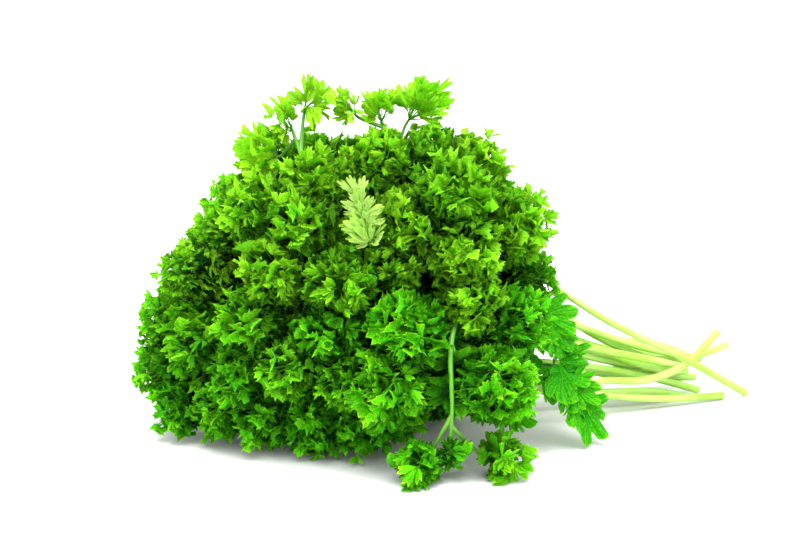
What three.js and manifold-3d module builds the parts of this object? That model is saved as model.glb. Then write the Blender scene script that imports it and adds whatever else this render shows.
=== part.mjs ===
// A bunch of curly parsley, cut and laid on its side on a flat surface.
// Millimetres, +Z up. X runs along the bunch, from the leafy heads (-X) to the cut ends of the stalks (+X).
// The surface is the plane z = 0, and the origin is the middle of the flat spot on which the bunch rests.
// Each leafy stem is two bodies: its pale stalk, and its green foliage, which holds the midrib, its side twigs
// and a rosette of crisped, toothed leaflets at the end of each twig.
import * as THREE from "three";
import { mergeVertices } from "three/addons/utils/BufferGeometryUtils.js";
import Module from "manifold-3d";

const wasm = await Module();
wasm.setup();

// Driving dimensions
const STALK_RADIUS = 1.65; // at the cut end
const STALK_NECK_RADIUS = 1.35; // where the foliage begins
const RIB_TIP_RADIUS = 0.8;
const TWIG_RADIUS = 0.95;
const TWIG_TIP_RADIUS = 0.75;
const BLADE_THICKNESS = 1.3; // in the middle of a leaflet, thinning to its edge
const HEART_THICKNESS = 1.9; // where a rosette's leaflets join
const GAP = 0.35; // between neighbouring bodies
const REST_KNOB_RADIUS = 5; // the pressed heart of the lowest rosette
const REST_KNOB_HEIGHT = 4;

const STALK_SIDES = 6;
const RIB_SIDES = 5;
const TWIG_SIDES = 4;
const STALK_STEPS = 8;
const RIB_STEPS = 4;
const TWIG_STEPS = 3;
const SPREAD_ROUNDS = 80;

// Each rosette is one crisped blade, cut nearly to its heart into toothed leaflets, which spread and stand by turns.
// Lifts are degrees from flat. Reaches are shares of the rosette's radius, and a tooth's is a share of its leaflet.
const SPREADING = {
  lift: 0,
  reach: 1.14,
  teeth: [
    { turn: -0.7, ripple: 1, reach: 0.86 },
    { turn: -0.3, ripple: -0.3, reach: 0.78 },
    { turn: 0.02, ripple: -1, reach: 1 },
    { turn: 0.32, ripple: 0, reach: 0.8 },
    { turn: 0.68, ripple: 1, reach: 0.88 },
  ],
};
const STANDING = {
  lift: 50,
  reach: 1.04,
  teeth: [
    { turn: -0.52, ripple: 1, reach: 0.92 },
    { turn: 0.02, ripple: -0.6, reach: 0.76 },
    { turn: 0.5, ripple: 0.7, reach: 1 },
  ],
};
const SMALL_ROSETTE = { below: 16.5, leaflets: 6 };
const LARGE_ROSETTE = { leaflets: 8 };
const RIPPLE = 16;
const CUT_REACH = 0.34;
const MIDDLE_REACH = 0.52;

// The leafy stems. stalk: points from the cut end to where the foliage begins. rib: points of the midrib from there
// on, which ends at the last rosette. heads: [x, y, z, radius, share of the midrib at which its twig leaves it], and
// for a rosette that is turned or one-sided, the way it faces and the way its leaflets lean.
const STEMS = [
  {
    name: "front_hanging",
    stalk: [[158, 12, 16], [130, 5.5, 24.5], [98, -2, 38], [52, -30, 63]],
    rib: [[34, -47, 61], [27.6, -56, 53], [26, -61, 45], [24.8, -66, 27]],
    heads: [
      [55, -50, 55, 16, 0.12],
      [38, -51, 64, 16, 0.2],
      [10, -56, 56, 18, 0.4, { facing: [-0.35, -0.9, 0.25], lean: [-0.5, 0, 0.1] }],
      [2, -57, 36, 18, 0.47, { facing: [-0.3, -0.9, 0.3], lean: [-0.6, 0, -0.25] }],
      [44, -64, 35, 18, 0.5, { facing: [0.2, -0.9, 0.35], lean: [0.55, 0, -0.2] }],
      [46, -71, 11, 13, 0.87, { facing: [0.2, -0.8, 0.5], lean: [0.5, -0.2, 0] }],
      [10, -70, 10, 14, 0.82, { facing: [-0.2, -0.8, 0.5], lean: [-0.4, -0.2, 0] }],
      [26, -68, 10, 10, 1],
    ],
  },
  {
    name: "right_flat",
    stalk: [[165, 3, 1.8], [134, -2.5, 4.5], [106, -8, 11], [91, -21, 26]],
    rib: [[84, -28, 30]],
    heads: [
      [77, -33, 42, 15, 0.3, { facing: [0.4, -0.85, 0.3], lean: [0.2, 0, -0.3] }],
      [61, -40, 38, 14, 0.6],
      [60, -40, 18, 14, 0.8],
      [82, -38, 22, 18, 1, { facing: [0.35, -0.85, 0.35], lean: [0.25, 0, -0.4] }],
    ],
  },
  {
    name: "top_right",
    stalk: [[176, 4, 1.8], [140, -8, 24], [108, -10, 41], [93, -10, 51]],
    rib: [[74, -1, 64], [54, -12, 74], [36, -24, 82]],
    heads: [
      [73, -18, 65, 13, 0.02],
      [59, -34, 89, 18, 0.6],
      [36, -46, 82, 18, 0.75],
      [34, -38, 102, 20, 0.85],
      [-2, -38, 98, 15, 0.97, { facing: [-0.2, -0.95, 0.2], lean: [0, 0, 0.4] }],
      [15, -36, 92, 18, 1],
    ],
  },
  {
    name: "top_back",
    stalk: [[150, 14, 18], [137, 9, 18.5], [98, 4.5, 38], [54, 4, 82]],
    rib: [[36, 0, 96]],
    heads: [
      [50, -14, 110, 16, 0.2],
      [47, 10, 107, 15, 0.3],
      [31, -11, 112, 16, 0.75],
      [14, -12, 112, 16, 1],
    ],
  },
  {
    name: "top_spray_right",
    stalk: [[153, 19, 17], [137, 14, 18.5], [98, 11, 38], [34, 18, 98]],
    rib: [[26, 17, 110]],
    heads: [
      [24, 30, 108, 15, 0.1],
      [35, 12, 117, 9, 0.3, { facing: [0.1, -0.9, 0.4], lean: [0.8, 0, -0.4] }],
      [36, 12, 131, 14, 0.5, { facing: [0.1, -0.9, 0.4], lean: [0.5, 0, 0.7] }],
      [5, 14, 130, 10, 0.9, { facing: [-0.1, -0.9, 0.4], lean: [-0.6, 0, 0.4] }],
      [19, 13, 131, 11, 1, { facing: [0, -0.9, 0.4], lean: [-0.1, 0, 1] }],
    ],
  },
  {
    name: "top_spray_left",
    stalk: [[152, 12, 11], [137, 6.5, 14.5], [98, 1, 31.5], [0, 4, 88]],
    rib: [[-10, 8, 100]],
    heads: [
      [-15, -12, 105, 17, 0.1],
      [4, -6, 107, 13, 0.2],
      [-8, 16, 134, 12, 0.75, { facing: [-0.1, -0.9, 0.4], lean: [0.4, 0, 0.5] }],
      [-30, 17, 113, 13, 0.9, { facing: [-0.4, -0.8, 0.4], lean: [-0.8, 0, 0.2] }],
      [-21, 17, 125, 11, 1, { facing: [-0.2, -0.9, 0.4], lean: [-0.7, 0, 0.5] }],
    ],
  },
  {
    name: "upper_left",
    stalk: [[149, 17, 12], [137, 11.5, 14], [98, 2, 25.5], [-8, -6, 70]],
    rib: [[-20, -10, 80]],
    heads: [
      [-6, -26, 84, 13, 0.1],
      [-23, -26, 92, 17, 0.5],
      [-34, -27, 75, 17, 0.7],
      [-36, -9, 95, 17, 1],
    ],
  },
  {
    name: "far_left",
    stalk: [[155, 23, 12], [137, 16.5, 13.8], [98, 9, 25], [-22, 16, 64]],
    rib: [[-38, 18, 70]],
    heads: [
      [-38, 33, 88, 15, 0.4],
      [-48, 38, 70, 16, 0.6],
      [-46, 16, 82, 14, 0.7],
      [-67, -1, 71, 11, 0.9],
      [-55, 13, 66, 16, 1],
    ],
  },
  {
    name: "left_low",
    stalk: [[158, 17, 6.5], [137, 12.5, 9.5], [98, 6.5, 18.5], [-32, 13, 36]],
    rib: [[-48, 14, 32]],
    heads: [
      [-60, 4, 42, 18, 0.4],
      [-68, 24, 46, 15, 0.5],
      [-62, 40, 32, 16, 0.6],
      [-71, 22, 27, 15, 0.85],
      [-53, -4, 17, 16, 0.95],
      [-67, 8, 14, 14, 1],
    ],
  },
  {
    name: "centre",
    stalk: [[149, 7, 14], [137, 2, 18.5], [98, -5.5, 30.5], [14, -18, 56]],
    rib: [[0, -28, 60]],
    heads: [
      [10, -40, 78, 14, 0.2],
      [-12, -42, 72, 17, 0.8],
      [-12, -46, 38, 14, 0.9],
      [-15, -41, 54, 16, 1],
    ],
  },
  {
    name: "centre_left",
    stalk: [[158, 13, 2], [137, 7.5, 10], [98, -0.5, 21], [-12, -10, 38]],
    rib: [[-26, -14, 40]],
    heads: [
      [-30, -35, 40, 15, 0.5],
      [-28, -21, 57, 12, 0.6],
      [-42, -22, 54, 17, 0.7],
      [-47, -19, 34, 17, 1],
    ],
  },
  {
    name: "bottom_front",
    stalk: [[164, 8, 28.4], [151, 4, 19.4], [137, 0, 14], [98, -9.7, 14.8], [4, -8, 20]],
    rib: [[-16, -10, 18]],
    heads: [
      [14, -31, 18, 15, 0.1],
      [-2, -37, 14, 15, 0.4],
      [-19, -28, 14, 16, 0.75],
      [-37, -16, 16, 17, 1],
    ],
  },
  {
    name: "back_top",
    stalk: [[156, 25, 15], [137, 19, 18], [98, 18, 36], [14, 25, 74]],
    rib: [[4, 30, 84]],
    heads: [
      [43, 34, 98, 17, 0.05],
      [12, 50, 86, 18, 0.4],
      [-20, 38, 102, 17, 0.8],
      [2, 40, 105, 17, 1],
    ],
  },
  {
    name: "back_right",
    stalk: [[160, 31, 12], [137, 25, 15.5], [98, 21, 29], [54, 26, 56]],
    rib: [[46, 34, 60]],
    heads: [
      [68, 28, 86, 16, 0.1],
      [73, 38, 54, 16, 0.2],
      [56, 44, 72, 17, 0.5],
      [47, 56, 52, 17, 0.8],
      [30, 58, 70, 17, 1],
    ],
  },
  {
    name: "back_middle",
    stalk: [[178, 29, 16], [144, 21, 16], [99, 14.8, 26], [4, 28, 52]],
    rib: [[-10, 38, 58]],
    heads: [
      [8, 64, 50, 17, 0.2],
      [-10, 57, 68, 17, 0.5],
      [-30, 51, 84, 16, 0.8],
      [-34, 54, 60, 17, 1],
    ],
  },
  {
    name: "back_low_left",
    stalk: [[151, 22, 6], [137, 17.5, 9], [98, 13.5, 15], [-16, 27, 30]],
    rib: [[-28, 36, 30]],
    heads: [
      [-20, 50, 14, 14, 0.3],
      [-26, 58, 34, 17, 0.5],
      [-46, 46, 44, 17, 0.8],
      [-46, 44, 19, 16, 1],
    ],
  },
  {
    name: "back_low_right",
    stalk: [[156, 28, 5], [137, 23, 8.5], [98, 21, 13], [44, 28, 26]],
    rib: [[34, 36, 28]],
    heads: [
      [70, 40, 28, 16, 0.05],
      [50, 53, 30, 16, 0.4],
      [32, 46, 12, 14, 0.6],
      [4, 58, 24, 16, 0.9],
      [27, 62, 32, 17, 1],
    ],
  },
  {
    name: "underside",
    stalk: [[147, 7, 2], [137, 4, 5.3], [98, 3, 8.5], [24, 12, 16]],
    rib: [[8, 8, 13]],
    heads: [
      [44, 6, 12, 15, 0.05],
      [14, -8, 12, 13, 0.4],
      [14, 28, 12, 15, 0.45],
      [-34, 20, 12, 15, 0.95],
      [0, 0, 4, 15, 1],
    ],
  },
];

// The heads face away from an upright line inside the bunch.
const INNER_LINE = { x: 8, y: 6, share: 0.45, height: 12 };
const REST_STEM = "underside";

const STALK_COLOUR = 0xb9dd6e;
const FOLIAGE_COLOUR = 0x3aa11a;

// A repeatable random number from 0 to 1
function randomFrom(seed) {
  let state = seed >>> 0;
  return () => {
    state = (Math.imul(state, 1664525) + 1013904223) >>> 0;
    return state / 4294967296;
  };
}

const point = (list) => new THREE.Vector3(...list);
const radians = THREE.MathUtils.degToRad;

// Rosettes

// A head: its visible middle, the direction it faces, the way its leaflets lean, and its heart, where its twig ends
function headOf([x, y, z, radius, share, turned = {}], rests) {
  const middle = new THREE.Vector3(x, y, z);
  if (rests) {
    const heart = new THREE.Vector3(x, y, REST_KNOB_HEIGHT + 1);
    return { middle: heart.clone(), facing: point([0, 0, 1]), lean: point([0, 0, 0]), heart, radius, share };
  }
  const inner = new THREE.Vector3(INNER_LINE.x, INNER_LINE.y, INNER_LINE.share * z + INNER_LINE.height);
  const facing = (turned.facing ? point(turned.facing) : middle.clone().sub(inner)).normalize();
  const lean = point(turned.lean ?? [0, 0, 0]);
  const heart = middle.clone().addScaledVector(facing, -0.42 * radius).addScaledVector(lean, -0.6 * radius);
  heart.z = Math.max(heart.z, REST_KNOB_HEIGHT);
  return { middle, facing, lean, heart, radius, share };
}

// The walls of a head's own room: planes halfway to each neighbouring head, and the surface it lies on.
function roomOf(head, heads) {
  const walls = [{ out: new THREE.Vector3(0, 0, -1), reach: head.heart.z }];
  for (const other of heads) {
    if (other === head) continue;
    const out = other.middle.clone().sub(head.middle);
    const distance = out.length();
    if (distance > head.radius + other.radius) continue;
    out.divideScalar(distance);
    const share = (distance ** 2 + head.radius ** 2 - other.radius ** 2) / (2 * distance);
    const wall = head.middle.clone().addScaledVector(out, share - GAP / 2);
    walls.push({ out, reach: wall.sub(head.heart).dot(out) });
  }
  return walls;
}

// How far a step from the heart may go, as a share of the step, before it meets a wall
function shareInside(step, walls) {
  let share = 1;
  for (const { out, reach } of walls) {
    const along = step.dot(out);
    if (along > 0 && along > reach) share = Math.min(share, Math.max(reach, 0) / along);
  }
  return share;
}

// A rosette: a closed blade whose upper and lower faces are split alike and meet at its toothed edge
function rosetteGeometry(head, walls, random) {
  const up = head.facing;
  const side = new THREE.Vector3(up.y, -up.x, 0.001).cross(up).normalize();
  const across = up.clone().cross(side);
  const count = head.radius < SMALL_ROSETTE.below ? SMALL_ROSETTE.leaflets : LARGE_ROSETTE.leaflets;
  const width = (2 * Math.PI) / count;
  const spin = random() * 2 * Math.PI;
  const points = [];
  const upper = [];
  const lower = [];

  const step = (angle, lift, reach) =>
    new THREE.Vector3()
      .addScaledVector(side, Math.cos(angle) * Math.cos(lift) * reach)
      .addScaledVector(across, Math.sin(angle) * Math.cos(lift) * reach)
      .addScaledVector(up, Math.sin(lift) * reach);
  const leaned = (angle, lift, reach) => step(angle, lift, 1).add(head.lean).setLength(reach);
  const add = (offset) => points.push(head.heart.clone().add(offset)) - 1;
  const edge = (angle, lift, reach) => {
    const offset = leaned(angle, lift, reach);
    return add(offset.multiplyScalar(shareInside(offset, walls)));
  };
  const pair = (offset, half) => {
    const middle = offset.clone().multiplyScalar(shareInside(offset, walls));
    return [add(middle.clone().add(half)), add(middle.clone().sub(half))];
  };

  const heart = pair(new THREE.Vector3(), up.clone().multiplyScalar(HEART_THICKNESS / 2));
  const leaflets = [];
  for (let i = 0; i < count; i++) {
    const rank = i % 2 ? STANDING : SPREADING;
    const angle = spin + (i + 0.5 + 0.16 * (random() - 0.5)) * width;
    const lift = radians(rank.lift + 14 * (random() - 0.5));
    const reach = head.radius * rank.reach * (0.86 + 0.26 * random());
    const middle = leaned(angle, lift, MIDDLE_REACH * reach);
    const half = middle.clone().cross(step(angle + Math.PI / 2, 0, 1)).normalize();
    leaflets.push({ rank, angle, lift, reach, middle: pair(middle, half.multiplyScalar(BLADE_THICKNESS / 2)) });
  }
  const cuts = leaflets.map((leaflet, i) => {
    const before = leaflets[(i + count - 1) % count];
    return edge(spin + i * width, (leaflet.lift + before.lift) / 2, CUT_REACH * head.radius);
  });
  leaflets.forEach(({ rank, angle, lift, reach, middle }, i) => {
    const ripple = radians(RIPPLE) * (random() < 0.5 ? 1 : -1);
    const teeth = rank.teeth.map((tooth) =>
      edge(angle + tooth.turn * width, lift + tooth.ripple * ripple, tooth.reach * reach),
    );
    const rim = [cuts[i], ...teeth, cuts[(i + 1) % count]];
    for (const [faces, centre, crown] of [
      [upper, heart[0], middle[0]],
      [lower, heart[1], middle[1]],
    ]) {
      for (let k = 0; k + 1 < rim.length; k++) faces.push([crown, rim[k], rim[k + 1]]);
      faces.push([centre, rim[0], crown], [centre, crown, rim[rim.length - 1]]);
    }
  });
  const faces = [...upper, ...lower.map(([a, b, c]) => [a, c, b])];
  return new THREE.BufferGeometry().setFromPoints(points).setIndex(faces.flat());
}

// Stalks, midribs and twigs

// A tube through points, tapering from one radius to the other
function tubeGeometry(points, from, to, sides) {
  const frames = new THREE.CatmullRomCurve3(points).computeFrenetFrames(points.length - 1, false);
  const rings = [];
  points.forEach((centre, i) => {
    const radius = THREE.MathUtils.lerp(from, to, i / (points.length - 1));
    const before = points[Math.max(i - 1, 0)];
    const after = points[Math.min(i + 1, points.length - 1)];
    const along = after.clone().sub(before).normalize();
    const normal = frames.normals[i].clone().addScaledVector(along, -frames.normals[i].dot(along)).normalize();
    const other = along.clone().cross(normal);
    for (let k = 0; k < sides; k++) {
      const angle = (2 * Math.PI * k) / sides;
      rings.push(
        centre
          .clone()
          .addScaledVector(normal, radius * Math.cos(angle))
          .addScaledVector(other, radius * Math.sin(angle)),
      );
    }
  });
  const faces = [];
  for (let i = 0; i + 1 < points.length; i++)
    for (let k = 0; k < sides; k++) {
      const a = i * sides + k;
      const b = i * sides + ((k + 1) % sides);
      faces.push(a, b, a + sides, b, b + sides, a + sides);
    }
  const last = (points.length - 1) * sides;
  for (let k = 1; k + 1 < sides; k++) {
    faces.push(0, k + 1, k);
    faces.push(last, last + k, last + k + 1);
  }
  return new THREE.BufferGeometry().setFromPoints(rings).setIndex(faces);
}

// The nearest points of two segments, as the share along each
function nearest(a, b, c, d) {
  const u = b.clone().sub(a);
  const v = d.clone().sub(c);
  const w = a.clone().sub(c);
  const uu = u.dot(u);
  const vv = v.dot(v);
  const uv = u.dot(v);
  const uw = u.dot(w);
  const vw = v.dot(w);
  const denominator = uu * vv - uv * uv;
  let s = denominator > 1e-9 ? THREE.MathUtils.clamp((uv * vw - vv * uw) / denominator, 0, 1) : 0.5;
  const t = THREE.MathUtils.clamp((uv * s + vw) / vv, 0, 1);
  s = THREE.MathUtils.clamp((uv * t - uw) / uu, 0, 1);
  return [s, t];
}

// Pushes lines of different stems apart until their tubes are clear of each other. The ends stay where they are.
function spread(lines, others = []) {
  const all = [...lines, ...others];
  for (let round = 0; round < SPREAD_ROUNDS; round++) {
    const pushes = lines.map((line) => line.points.map(() => new THREE.Vector3()));
    lines.forEach((line, i) => {
      all.forEach((other, j) => {
        if (j <= i || other.stem === line.stem) return;
        const need = line.radius + other.radius + 2 * GAP;
        for (let k = 0; k + 1 < line.points.length; k++)
          for (let m = 0; m + 1 < other.points.length; m++) {
            const [a, b, c, d] = [line.points[k], line.points[k + 1], other.points[m], other.points[m + 1]];
            const far = a.distanceTo(b) + c.distanceTo(d) + need;
            if (a.distanceToSquared(c) > far * far) continue;
            const [s, t] = nearest(a, b, c, d);
            const apart = a.clone().lerp(b, s).sub(c.clone().lerp(d, t));
            const distance = apart.length();
            if (distance >= need) continue;
            apart.multiplyScalar((0.4 * (need - distance)) / Math.max(distance, 0.01));
            pushes[i][k].addScaledVector(apart, 1 - s);
            pushes[i][k + 1].addScaledVector(apart, s);
            if (j < lines.length) {
              pushes[j][m].addScaledVector(apart, t - 1);
              pushes[j][m + 1].addScaledVector(apart, -t);
            }
          }
      });
    });
    lines.forEach((line, i) => {
      for (let k = 1; k + 1 < line.points.length; k++) {
        line.points[k].add(pushes[i][k]);
        line.points[k].z = Math.max(line.points[k].z, line.radius + 0.1);
      }
    });
  }
}

// Bodies

function solidOf(geometry) {
  const bare = geometry.clone();
  bare.deleteAttribute("normal");
  bare.deleteAttribute("uv");
  const merged = mergeVertices(bare, 1e-4);
  return new wasm.Manifold(
    new wasm.Mesh({
      numProp: 3,
      vertProperties: merged.attributes.position.array,
      triVerts: new Uint32Array(merged.index.array),
    }),
  );
}

// The largest body of a solid, without loose scraps
function largest(solid) {
  return solid.decompose().reduce((a, b) => (b.volume() > a.volume() ? b : a));
}

function meshOf(name, solid, colour) {
  const { numProp, vertProperties, triVerts } = solid.getMesh();
  const positions = [];
  for (let i = 0; i < vertProperties.length; i += numProp) positions.push(...vertProperties.slice(i, i + 3));
  const geometry = new THREE.BufferGeometry();
  geometry.setAttribute("position", new THREE.Float32BufferAttribute(positions, 3));
  geometry.setIndex([...triVerts]);
  geometry.computeVertexNormals();
  const mesh = new THREE.Mesh(
    geometry,
    new THREE.MeshStandardMaterial({ color: colour, roughness: 0.5, metalness: 0 }),
  );
  mesh.name = name;
  return mesh;
}

// The bunch

const stems = STEMS.map((stem, index) => ({
  ...stem,
  index,
  heads: stem.heads.map((head, i) =>
    headOf(head, stem.name === REST_STEM && i === stem.heads.length - 1),
  ),
}));
const heads = stems.flatMap((stem) => stem.heads);

// Stalk and midrib are one smooth line, which is then pushed clear of the others.
for (const stem of stems) {
  const last = stem.heads[stem.heads.length - 1];
  const stalk = new THREE.CatmullRomCurve3(stem.stalk.map(point));
  const rib = new THREE.CatmullRomCurve3([...stem.stalk.slice(-1), ...stem.rib].map(point).concat(last.heart));
  stem.line = {
    stem: stem.name,
    radius: STALK_RADIUS,
    points: [...stalk.getSpacedPoints(STALK_STEPS), ...rib.getSpacedPoints(RIB_STEPS).slice(1)],
  };
}
const stemLines = stems.map((stem) => stem.line);
spread(stemLines);

for (const stem of stems) {
  const rib = new THREE.CatmullRomCurve3(stem.line.points.slice(STALK_STEPS));
  stem.twigs = stem.heads.slice(0, -1).map((head) => {
    const start = rib.getPointAt(Math.max(head.share, 0.03));
    const bend = head.heart.clone().addScaledVector(head.facing, -0.4 * start.distanceTo(head.heart));
    bend.z = Math.max(bend.z, 2);
    const curve = new THREE.QuadraticBezierCurve3(start, bend, head.heart);
    return { stem: stem.name, radius: TWIG_RADIUS, points: curve.getPoints(TWIG_STEPS) };
  });
}
const twigLines = stems.flatMap((stem) => stem.twigs);
spread(twigLines, stemLines);

// The stalk ends just short of the midrib.
function stalkPoints(stem) {
  const points = stem.line.points.slice(0, STALK_STEPS + 1).map((p) => p.clone());
  const end = points[STALK_STEPS];
  end.addScaledVector(points[STALK_STEPS - 1].clone().sub(end).normalize(), GAP);
  return points;
}

function stalkSolid(stem) {
  return solidOf(tubeGeometry(stalkPoints(stem), STALK_RADIUS, STALK_NECK_RADIUS, STALK_SIDES));
}

function foliageSolid(stem) {
  const parts = [
    solidOf(
      tubeGeometry(stem.line.points.slice(STALK_STEPS), STALK_NECK_RADIUS, RIB_TIP_RADIUS, RIB_SIDES),
    ),
    ...stem.twigs.map(({ points }) => solidOf(tubeGeometry(points, TWIG_RADIUS, TWIG_TIP_RADIUS, TWIG_SIDES))),
  ];
  stem.heads.forEach((head, i) => {
    const random = randomFrom(1000 * (stem.index + 1) + 37 * i);
    const walls = roomOf(head, heads);
    parts.push(solidOf(rosetteGeometry(head, walls, random)));
  });
  let solid = parts.reduce((all, part) => all.add(part));
  const clearance = [...stemLines, ...twigLines]
    .filter((line) => line.stem !== stem.name)
    .concat({ points: stalkPoints(stem), radius: STALK_RADIUS })
    .map(({ points, radius }) => solidOf(tubeGeometry(points, radius + GAP, radius + GAP, RIB_SIDES)));
  for (const tube of clearance) if (solid.intersect(tube).volume() > 0) solid = solid.subtract(tube);
  return solid;
}

// The lowest rosette's heart is pressed flat on the surface.
function pressedFlat(solid, { heart }) {
  const knob = new THREE.IcosahedronGeometry(REST_KNOB_RADIUS, 1).translate(heart.x, heart.y, REST_KNOB_HEIGHT);
  const below = new THREE.BoxGeometry(400, 400, 20).translate(0, 0, -10);
  return solid.add(solidOf(knob)).subtract(solidOf(below));
}

const bunch = new THREE.Group();
for (const stem of stems) {
  let foliage = foliageSolid(stem);
  if (stem.name === REST_STEM) foliage = pressedFlat(foliage, stem.heads[stem.heads.length - 1]);
  bunch.add(meshOf(`stalk_${stem.name}`, stalkSolid(stem), STALK_COLOUR));
  bunch.add(meshOf(`leaf_${stem.name}`, largest(foliage), FOLIAGE_COLOUR));
}

export default bunch;
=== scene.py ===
"""A bunch of curly parsley lying on its side: crisped leaflets on green twigs, and ridged pale stalks.

The skeleton is in millimetres: x along the bunch to the cut ends, y away from the camera, z up from the
floor. Meshes, lights and the camera are in metres.
"""

import math

import bpy
import numpy as np
from mathutils import Matrix


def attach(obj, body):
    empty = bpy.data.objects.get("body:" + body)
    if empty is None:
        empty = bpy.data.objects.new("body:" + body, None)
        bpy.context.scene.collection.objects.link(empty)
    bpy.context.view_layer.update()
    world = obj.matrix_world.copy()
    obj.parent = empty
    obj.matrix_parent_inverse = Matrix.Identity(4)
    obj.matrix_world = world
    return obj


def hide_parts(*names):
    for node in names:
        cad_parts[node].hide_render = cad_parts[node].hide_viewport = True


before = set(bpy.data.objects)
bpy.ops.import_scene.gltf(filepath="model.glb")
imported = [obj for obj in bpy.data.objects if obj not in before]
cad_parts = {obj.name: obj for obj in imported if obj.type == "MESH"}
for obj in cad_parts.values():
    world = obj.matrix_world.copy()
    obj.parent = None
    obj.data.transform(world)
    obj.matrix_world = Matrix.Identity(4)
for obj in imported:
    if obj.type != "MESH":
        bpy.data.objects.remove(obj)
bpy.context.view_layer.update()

MM = 0.001

# Skeleton, in millimetres: it follows the skeleton of the solids
STALK_RADIUS = 1.65
STALK_NECK_RADIUS = 1.3
RIB_TIP_RADIUS = 0.7
TWIG_RADIUS = 0.9
TWIG_TIP_RADIUS = 0.55
CURVE_SAMPLES = 60
STALK_STEPS = 8
RIB_STEPS = 4
TWIG_STEPS = 3
FIRST_TWIG = 0.03  # no twig leaves the midrib below this share of it
TWIG_BEND = 0.4  # how far a twig bows, as a share of its length
LOWEST_BEND = 2  # no twig bends lower than this

# How the lines of different stems are pushed apart: in so many rounds, by this share of what they lack,
# with a gap around each tube
SPREAD_ROUNDS = 80
PUSH = 0.4
GAP = 0.35
SPREAD_TWIG_RADIUS = 0.95
FLOOR_GAP = 0.1

# Rosettes: how far the heart lies behind the middle and against the lean, in radii, and the line inside
# the bunch that they face away from
HEART_BACK = 0.42
HEART_LEAN = 0.6
INNER_LINE = {"x": 8, "y": 6, "share": 0.45, "height": 12}
LOWEST_HEART = 4
REST_STEM = "underside"  # its last rosette lies on the floor
REST_HEART = 5

# Tubes: points along and around them, length-wise ridges, the cut end, and how pale they start
STALK_RINGS = 60
RIB_RINGS = 24
TWIG_RINGS = 12
STALK_SIDES = 20
RIB_SIDES = 10
TWIG_SIDES = 8
STALK_RIDGES = 5
TWIG_RIDGES = 4
RIDGE_DEPTH = 0.05
RIB_RIDGE_DEPTH = 0.06
CUT_RIMS = (0.02, 0.6, 1.0)
NECK_PALE = 0.2
TWIG_PALE = 0.5
PALE_NECKS = {"top_right": 0.95, "top_back": 0.95}
NECK_OVERLAP = 1.2  # how far a bare stalk runs into its leaf

# Walls that the rosettes stay behind: outward directions, and how far out they are, in millimetres. In a
# rosette's list of walls the floor comes before them, and the walls toward its neighbours come after.
BOX = (((0, 0, 1), 141.5), ((0, -1, 0), 80), ((0, 1, 0), 76.5), ((-1, 0, 0), 81))
OPEN_WALLS = 1 + len(BOX)
WALL_START = 1.5  # leaflets are eased back from this far inside a wall
WALL_SLACK = 2.0  # and end at most about this far past it, but not below the floor
WALL_GIVE = 1.4
WALL_EASE = 1.6
FLOOR_CLEARANCE = 0.3

# Painted light and shade over the bunch, and tone that differs at random between rosettes
VALLEY = 0.42  # how much painted shade darkens leaflets toward a neighbour rosette
MOOD_TONE = 0.3  # how far rosettes differ in tone
MOOD_SHADE = 0.8  # and in shade
MIDDLE_HEIGHT = 65  # painted light from above: leaflets above this height are lighter, and those below it darker
HEIGHT_PAINTED_LIGHT = 0.65
ROSETTE_DEPTH = 1.25  # how far from the heart the painted shade ends, in radii
OPEN_GLOOM = 0.7  # a rosette with no more painted shade than this is open to the light, and its twig stays bare

# Leaflets of a rosette. The styles' counts are for the usual radius. LIFT is the sine of the angle at which
# the first leaflet stands above the heart, and how much it grows up to the last one.
FIRST_SEED = 4100  # the random seed of the first stem
USUAL_RADIUS = 16
FEWEST_LEAFLETS = 6
COUNT_POWER = 1.7  # how their count grows with the radius
GOLDEN_TURN = 2.39996
TURN_JITTER = 0.5
LIFT = (-0.3, 1.28)
LENGTHS = (0.74, 0.4)  # shares of the style's length: the least, and how much more at most
LEAST_ROOT = 0.12
LEAST_LENGTH = 0.3
PETIOLE_RADII = (0.4, 0.2)
FEATHER_RIB_RADII = (0.7, 0.65, 0.5, 0.25)

# Leaflets along a twig, below its rosette: at which of its points, how many at each, their lengths in
# millimetres, and how far their painted shade reaches
INNER_PLACES = (1, 2)
INNER_LEAFLETS = 3
INNER_LENGTH = 8
INNER_LENGTH_MORE = 3
INNER_DEPTH = 30

# Small leaflets along the midrib of the leaf that hangs at the front: where they leave it, the ways they
# point, and their length
RIB_STEM = "front_hanging"
RIB_PAIRS = (0.1, 0.25, 0.4, 0.5, 0.6, 0.72)
RIB_SIDE = np.array([0.966, -0.259, 0])
RIB_DOWN = np.array([0, 0, -0.9])
RIB_BACK = np.array([0.15, 0.6, 0])
RIB_FRONT = np.array([-0.25, -0.94, 0.2])
RIB_LEAFLET = 10.5

# One leaflet: its rows of points, as shares of the way from its base to its edge, how sharp the cuts between
# its lobes and teeth are, how much shorter it is at its sides, and the depth of its smaller folds
ROWS = (0.12, 0.62, 1.0)
NOTCH_POWER = 3
TOOTH_POWER = 1.4
SIDE_LOSS = 0.22
SLOW_WAVE = 0.45
LOBE_FOLD = 0.05
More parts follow.
